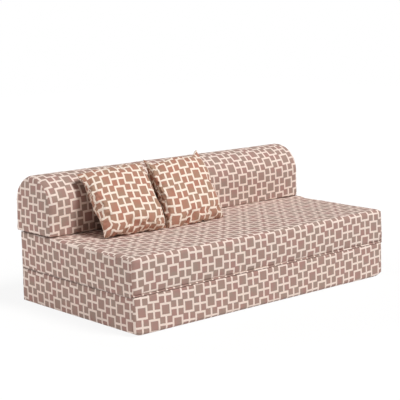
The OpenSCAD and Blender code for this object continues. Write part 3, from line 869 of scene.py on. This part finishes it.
def rear_hinge():
    """From the seat's top, flat under the overhang, round the fold line and up the backrest's rear."""
    x = sleeves["backrest"][0][INNER_ROWS, 0, 0]
    fold_y, fold_z = back_high.y, (seat_high.z + back_low.z) / 2
    bend = [(REAR_BEND[0] * math.cos(math.radians(q)), REAR_BEND[1] * math.sin(math.radians(q)))
            for q in REAR_BEND_ANGLES]
    path = [(seat_high.y + y, z) for y, z in REAR_FLAP]
    path += [(fold_y + y, z) for y, z in (*REAR_FOLD, *bend, *REAR_UP)]
    path = np.array(path) + (0, fold_z)
    path = np.repeat(path[None], len(x), 0)
    path[:, :, 1] -= HINGE_SWAY * (1 + waves(SEEDS["rear_hinge"], x, 0 * x, 0.06))[:, None]
    return strip("rear_hinge_cloth", with_x(x, thickened(path, -REAR_HINGE_T)), scale=PITCH)


# Zips: woven tape with a coil of teeth down its middle

TAPE_STEP = 0.006
TAPE_SWAY = 0.0004
TAPE_WIDE = 0.97
# Half the tape's section, as shares of its half width and thickness: a bound edge, the flat with its
# seam pressed in, and the ridge beside the teeth
TAPE_SECTION = ((-1.0, 0.15), (-0.97, 0.75), (-0.90, 0.95), (-0.80, 0.80), (-0.72, 0.55), (-0.64, 0.80),
                (-0.45, 0.85), (-0.30, 1.0), (0.0, 1.0))
TEETH_PITCH = 0.003
# Sections of a tooth from its root to its head: place across, height and width, as shares
TOOTH = ((0.98, 0.55, 0.62), (0.55, 0.85, 0.70), (0.0, 1.0, 0.74), (-0.42, 0.72, 0.60))
TOOTH_SHOULDER = 0.8
TOOTH_SHOULDER_DROP = 0.0003
COIL_END = 0.008
STOP_L = 0.003
STOP_WIDE = 0.99
STOP_BEVEL = 0.0006
STOP_BEVEL_DROP = 0.0005
STOP_INSET = 0.0004


def zip_tape(body):
    low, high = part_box(body + "_zip_tape")
    x = np.arange(low.x, high.x + 1e-6, TAPE_STEP)
    half = (high.z - low.z) / 2
    section = np.array(TAPE_SECTION)
    section = np.concatenate([section, section[-2::-1] * (-1, 1), [(1.0, 0.0), (-1.0, 0.0)]])
    sway = TAPE_SWAY * waves(SEEDS["zip_tape"], x, 0 * x, 0.12)
    across = half * TAPE_WIDE * section[:, 0] + sway[:, None] * np.abs(section[:, 0])
    y = np.broadcast_to(low.y + (high.y - low.y) * section[:, 1], across.shape)
    flat = np.stack([y, (low.z + high.z) / 2 + across], -1)
    return strip(body + "_zip_cloth", with_x(x, flat[:, ::-1]))


def add_loft(verts, faces, rings, turned):
    """Adds a closed body whose sections are rings of points. turned is for rings that run the other way."""
    first, wide = len(verts), len(rings[0])
    for k, ring in enumerate(rings):
        verts += ring
        for m in range(wide if k else 0):
            b, d = first + wide * k + m, first + wide * k + (m + 1) % wide
            a, c = b - wide, d - wide
            faces.append((a, b, d, c) if turned else (a, c, d, b))
    near, far = tuple(range(first, first + wide)), tuple(range(len(verts) - wide, len(verts)))
    faces += [near, far[::-1]] if turned else [near[::-1], far]


def zip_teeth(body):
    """Teeth from each side in turn, each a loop with a rounded head, and a stop at each end."""
    low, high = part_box(body + "_zip_coil")
    middle = (low.z + high.z) / 2
    reach = (high.z - low.z) / 2
    y0, y1 = low.y, high.y
    count = int((high.x - low.x - COIL_END) / TEETH_PITCH)
    start = (low.x + high.x) / 2 - count * TEETH_PITCH / 2
    verts, faces = [], []
    for n in range(2 * count):
        side = 1 if n % 2 else -1
        x = start + (n + 0.5) * TEETH_PITCH / 2
        rings = []
        for across, tall, wide in TOOTH:
            w = TEETH_PITCH / 4 * wide
            top = y0 + (y1 - y0) * tall
            shoulder, drop = w * TOOTH_SHOULDER, top - TOOTH_SHOULDER_DROP
            section = ((-w, y0), (-shoulder, drop), (0, top), (shoulder, drop), (w, y0))
            rings.append([(x + dx * side, y, middle + side * across * reach) for dx, y in section])
        add_loft(verts, faces, rings, False)
    w = reach * STOP_WIDE
    bevel_w, bevel_y = w - STOP_BEVEL, y1 - STOP_BEVEL_DROP
    section = ((-w, y0), (-w, bevel_y), (-bevel_w, y1), (bevel_w, y1), (w, bevel_y), (w, y0))
    for x0, x1 in ((low.x, low.x + STOP_L), (high.x - STOP_L, high.x)):
        ends = ((x0, STOP_INSET), (x0 + STOP_INSET, 0), (x1 - STOP_INSET, 0), (x1, STOP_INSET))
        rings = [[(x, max(y0, y - inset), middle + z * (1 - inset / w)) for z, y in section]
                 for x, inset in ends]
        add_loft(verts, faces, rings, True)
    thing = mesh_object(body + "_zip_teeth", verts, faces)
    thing.data.shade_flat()
    return thing


front_strip, fold_z = front_hinge()
rear_strip = rear_hinge()
tapes = {body: zip_tape(body) for body in cushions}
teeth = {body: zip_teeth(body) for body in cushions}
laps = {side: lap(side, rear) for side, (_, rear) in pillows.items()}


# Materials

def linear(colour):
    """A colour on a picture's scale as a shader takes it."""
    shares = [c / 255 for c in colour]
    return (*((s / 12.92) if s <= 0.04 else ((s + 0.055) / 1.055) ** 2.4 for s in shares), 1)


class Tree:
    """The node tree of a material or a world, while it is built."""

    def __init__(self, owner):
        owner.use_nodes = True
        self.owner = owner
        self.tree = owner.node_tree
        self.tree.nodes.clear()

    def add(self, kind, inputs, **settings):
        """A node. Each of its inputs gets a value, or a link where it is another node's output."""
        node = self.tree.nodes.new("ShaderNode" + kind)
        for key, value in settings.items():
            setattr(node, key, value)
        for key, value in inputs.items():
            if isinstance(value, bpy.types.NodeSocket):
                self.tree.links.new(value, node.inputs[key])
            else:
                node.inputs[key].default_value = value
        return node

    def math(self, operation, *values):
        return self.add("Math", dict(enumerate(values)), operation=operation).outputs[0]

    def noise(self, vector, scale, detail):
        return self.add("TexNoise", {"Vector": vector, "Scale": scale, "Detail": detail}).outputs[0]

    def ranged(self, inputs, **settings):
        return self.add("MapRange", inputs, **settings).outputs[0]

    def mixed(self, share, first, second):
        inputs = {"Factor": share, "A": first, "B": second}
        return self.add("Mix", inputs, data_type="RGBA").outputs["Result"]

    def bump(self, height, strength, distance):
        inputs = {"Height": height, "Strength": strength, "Distance": distance}
        return self.add("Bump", inputs).outputs[0]

    def shaded(self, inputs):
        """Ends the tree with one shader and returns the material."""
        shader = self.add("BsdfPrincipled", inputs)
        self.add("OutputMaterial", {"Surface": shader.outputs[0]})
        return self.owner

    def cloth_place(self):
        """The cloth's texture coordinates, together and apart."""
        uv = self.add("UVMap", {}, uv_map="cloth").outputs[0]
        parts = self.add("SeparateXYZ", {0: uv}).outputs
        return uv, parts[0], parts[1]

    def woven(self, along, across, threads):
        """Waves of the threads along and across the cloth."""
        return [self.math("SINE", self.math("MULTIPLY", place, threads)) for place in (along, across)]

    def background_rays(self):
        """1 for a ray that shows the background: from the camera, a glossy surface or through glass."""
        ray = self.add("LightPath", {}).outputs
        mirrored = self.math("MAXIMUM", ray["Is Glossy Ray"], ray["Is Transmission Ray"])
        return self.math("MAXIMUM", ray["Is Camera Ray"], mirrored)

    def either(self, share, first, second, output):
        """Ends the tree with a mix of two shaders."""
        mix = self.add("MixShader", {0: share, 1: first.outputs[0], 2: second.outputs[0]})
        self.add(output, {"Surface": mix.outputs[0]})


def lattice(tree, u, v):
    """1 on the print's lines and 0 on its ground, with soft edges."""
    def below(x, limit):
        inputs = {"Value": x, "From Min": limit - PRINT_BLUR, "From Max": limit + PRINT_BLUR,
                  "To Min": 1, "To Max": 0}
        return tree.ranged(inputs, interpolation_type="SMOOTHSTEP")

    i, j = (tree.math("FLOOR", tree.math("ADD", x, 0.5)) for x in (u, v))
    du, dv = (tree.math("ABSOLUTE", tree.math("SUBTRACT", x, k)) for x, k in ((u, i), (v, j)))
    far, near = tree.math("MAXIMUM", du, dv), tree.math("MINIMUM", du, dv)
    odd = tree.math("GREATER_THAN", tree.math("FLOORED_MODULO", tree.math("ADD", i, j), 2), 0.5)
    even = tree.math("SUBTRACT", 1, odd)
    half, thick = SQUARE / PITCH / 2, LINE / PITCH
    inside = tree.math("MULTIPLY", below(far, half), even)
    hole = tree.math("MULTIPLY", below(far, half - thick), even)
    cross = tree.math("MULTIPLY", below(near, thick / 2), tree.math("SUBTRACT", 1, inside))
    return tree.math("MAXIMUM", tree.math("SUBTRACT", inside, hole), cross)


def printed_cloth(name, colours):
    """Plain-woven cloth with the lattice print."""
    tree = Tree(bpy.data.materials.new(name))
    uv, along, across = tree.cloth_place()
    ground, ground_shift, line = (linear(colour) for colour in colours)

    # The printed edges waver a little
    shift = tree.math("MULTIPLY_ADD", tree.noise(uv, 9, 2), PRINT_WAVER, -PRINT_WAVER / 2)
    lines = lattice(tree, tree.math("ADD", along, shift), tree.math("SUBTRACT", across, shift))

    # The ground's colour drifts from patch to patch
    drift = tree.ranged({"Value": tree.noise(uv, 0.9, 3), "From Min": 0.39, "From Max": 0.61})
    tinted = tree.mixed(lines, tree.mixed(drift, ground, ground_shift), line)

    # Threads over and under, with slubs, as bump and as painted shade: the colour is darkened in the weave's
    # low places
    warp, weft = tree.woven(along, across, 2 * math.pi * PITCH / WEAVE)
    height = tree.math("MULTIPLY_ADD", tree.math("MULTIPLY", warp, weft), 0.5, tree.noise(uv, 60, 2))
    shade = tree.math("MULTIPLY_ADD", height, 0.022, 0.987)
    rippled = tree.add("VectorMath", {0: tinted, "Scale": shade}, operation="SCALE").outputs[0]
    return tree.shaded({
        "Base Color": rippled, "Roughness": 0.88, "Specular IOR Level": 0.25, "Sheen Weight": 0.12,
        "Sheen Roughness": 0.5, "Normal": tree.bump(height, 0.15, 0.0002)})


def tape_cloth(name, colours):
    """Woven tape, whose cross threads show more, from texture coordinates in metres."""
    tree = Tree(bpy.data.materials.new(name))
    uv, along, across = tree.cloth_place()
    warp, weft = tree.woven(along, across, 2 * math.pi / WEAVE)
    height = tree.math("MULTIPLY_ADD", warp, 0.8, tree.math("MULTIPLY", warp, weft))
    # Painted shade of the weave, lighter on the raised threads and darker between them, over a random mottle
    thread_shade_and_mottle = tree.math("MULTIPLY_ADD", height, 0.18, tree.noise(uv, 35, 4))
    return tree.shaded({
        "Base Color": tree.mixed(thread_shade_and_mottle, *(linear(colour) for colour in colours)), "Roughness": 0.8,
        "Specular IOR Level": 0.25, "Sheen Weight": 0.1, "Normal": tree.bump(height, 0.5, 0.0003)})


def hard(name, colours, scale, roughness, spread, metallic, relief):
    """Metal or plastic with fine marks, from the object's own coordinates."""
    tree = Tree(bpy.data.materials.new(name))
    noise = tree.noise(tree.add("TexCoord", {}).outputs["Object"], scale, 5)
    rough = tree.ranged({"Value": noise, "To Min": roughness - spread, "To Max": roughness + spread})
    return tree.shaded({
        "Base Color": tree.mixed(noise, *(linear(colour) for colour in colours)), "Metallic": metallic,
        "Roughness": rough, "Normal": tree.bump(noise, 0.3, relief)})


cover_cloth = printed_cloth("cover_cloth", COVER_COLOURS)
pillow_cloth = printed_cloth("pillow_cloth", PILLOW_COLOURS)
hinge_cloth = printed_cloth("hinge_cloth", COVER_COLOURS)
zip_cloth = tape_cloth("zip_tape_cloth", TAPE_COLOURS)
coil_plastic = hard("zip_coil_plastic", COIL_COLOURS, 300, 0.42, 0.08, 0.0, 0.00005)
zip_metal = hard("zip_metal", METAL_COLOURS, 240, 0.36, 0.10, 1.0, 0.00004)


# The pieces' places in the model

def assign(piece, body, material, slot, *nodes):
    """Says what a piece moves with, is made of and stands for. A strip that bends has no body here."""
    dress(piece, material)
    if body:
        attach(piece, body)
    if nodes:
        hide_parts(*nodes)


for body, piece in cushions.items():
    parts = ("foam_core", "cover_wrap", "cover_end_left", "cover_end_right")
    assign(piece, body, cover_cloth, "cover_cloth", *(f"{body}_{part}" for part in parts))
for side, (piece, _) in pillows.items():
    body = f"pillow_{side}"
    parts = ("cover_front", "cover_back_lower", "cover_back_upper", "filling")
    assign(piece, body, pillow_cloth, "pillow_cloth", *(f"{body}_{part}" for part in parts))

assign(front_strip, None, hinge_cloth, "hinge_cloth",
       "front_hinge_roll", "front_hinge_flap_lower", "front_hinge_flap_upper")
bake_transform(front_strip)
assign(rear_strip, None, hinge_cloth, "hinge_cloth", "rear_hinge_roll", "rear_hinge_flap")
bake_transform(rear_strip)
for body in cushions:
    assign(tapes[body], body, zip_cloth, "zip_tape", body + "_zip_tape")
    assign(teeth[body], body, coil_plastic, "zip_coil", body + "_zip_coil")
    for part in ("slider", "puller"):
        dress(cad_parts[f"{body}_zip_{part}"], zip_metal)
for side, piece in laps.items():
    assign(piece, f"pillow_{side}", pillow_cloth, "pillow_cloth")


# Camera, lamps, world and floor

def camera():
    yaw, pitch, roll = (math.radians(a) for a in (CAMERA_YAW, CAMERA_PITCH, CAMERA_ROLL))
    ahead = Vector((math.sin(yaw) * math.cos(pitch), math.cos(yaw) * math.cos(pitch), -math.sin(pitch)))
    level = Vector((math.cos(yaw), -math.sin(yaw), 0))
    above = level.cross(ahead)
    right = math.cos(roll) * level + math.sin(roll) * above
    up = -math.sin(roll) * level + math.cos(roll) * above
    data = bpy.data.cameras.new("camera")
    data.sensor_fit = "HORIZONTAL"
    data.sensor_width = SENSOR_MM
    data.lens = FOCAL_PX / IMAGE_PX * SENSOR_MM
    thing = bpy.data.objects.new("camera", data)
    turn = Matrix((right, up, -ahead)).transposed()
    thing.matrix_world = Matrix.Translation(CAMERA_PLACE) @ turn.to_4x4()
    scene.collection.objects.link(thing)
    scene.camera = thing


def lamp(name, place, aim, size, power, colour):
    data = bpy.data.lights.new(name, "AREA")
    data.shape = "RECTANGLE"
    data.size = data.size_y = size
    data.energy = power
    data.color = colour
    thing = bpy.data.objects.new(name, data)
    thing.location = place
    thing.rotation_euler = (Vector(aim) - Vector(place)).to_track_quat("-Z", "Y").to_euler()
    scene.collection.objects.link(thing)


def surroundings():
    """A dim white world that looks full white."""
    scene.world = bpy.data.worlds.new("studio")
    tree = Tree(scene.world)
    ambient = tree.add("Background", {"Color": (1, 1, 1, 1), "Strength": AMBIENT})
    seen = tree.add("Background", {"Color": (1, 1, 1, 1), "Strength": 1})
    tree.either(tree.background_rays(), ambient, seen, "OutputWorld")


def floor():
    """A pale floor that keeps the shadow nearby and turns into the white background farther away."""
    corners = [(x * FLOOR_HALF, y * FLOOR_HALF, 0) for x, y in ((-1, -1), (1, -1), (1, 1), (-1, 1))]
    thing = mesh_object("floor", corners, [(0, 1, 2, 3)])
    tree = Tree(bpy.data.materials.new("floor"))
    matte = tree.add("BsdfDiffuse", {"Color": (FLOOR_COLOUR, FLOOR_COLOUR, FLOOR_COLOUR, 1)})
    glow = tree.add("Emission", {"Color": (1, 1, 1, 1), "Strength": FLOOR_GLOW})
    place = tree.add("NewGeometry", {}).outputs["Position"]
    away = tree.add("VectorMath", {0: place}, operation="LENGTH").outputs["Value"]
    lift = tree.ranged({"Value": away, "From Min": FLOOR_NEAR, "From Max": FLOOR_FAR, "To Min": FLOOR_LIFT})
    tree.either(tree.math("MULTIPLY", tree.background_rays(), lift), matte, glow, "OutputMaterial")
    dress(thing, tree.owner)


camera()
surroundings()
floor()
for name, facts in LAMPS.items():
    lamp(name, *facts)
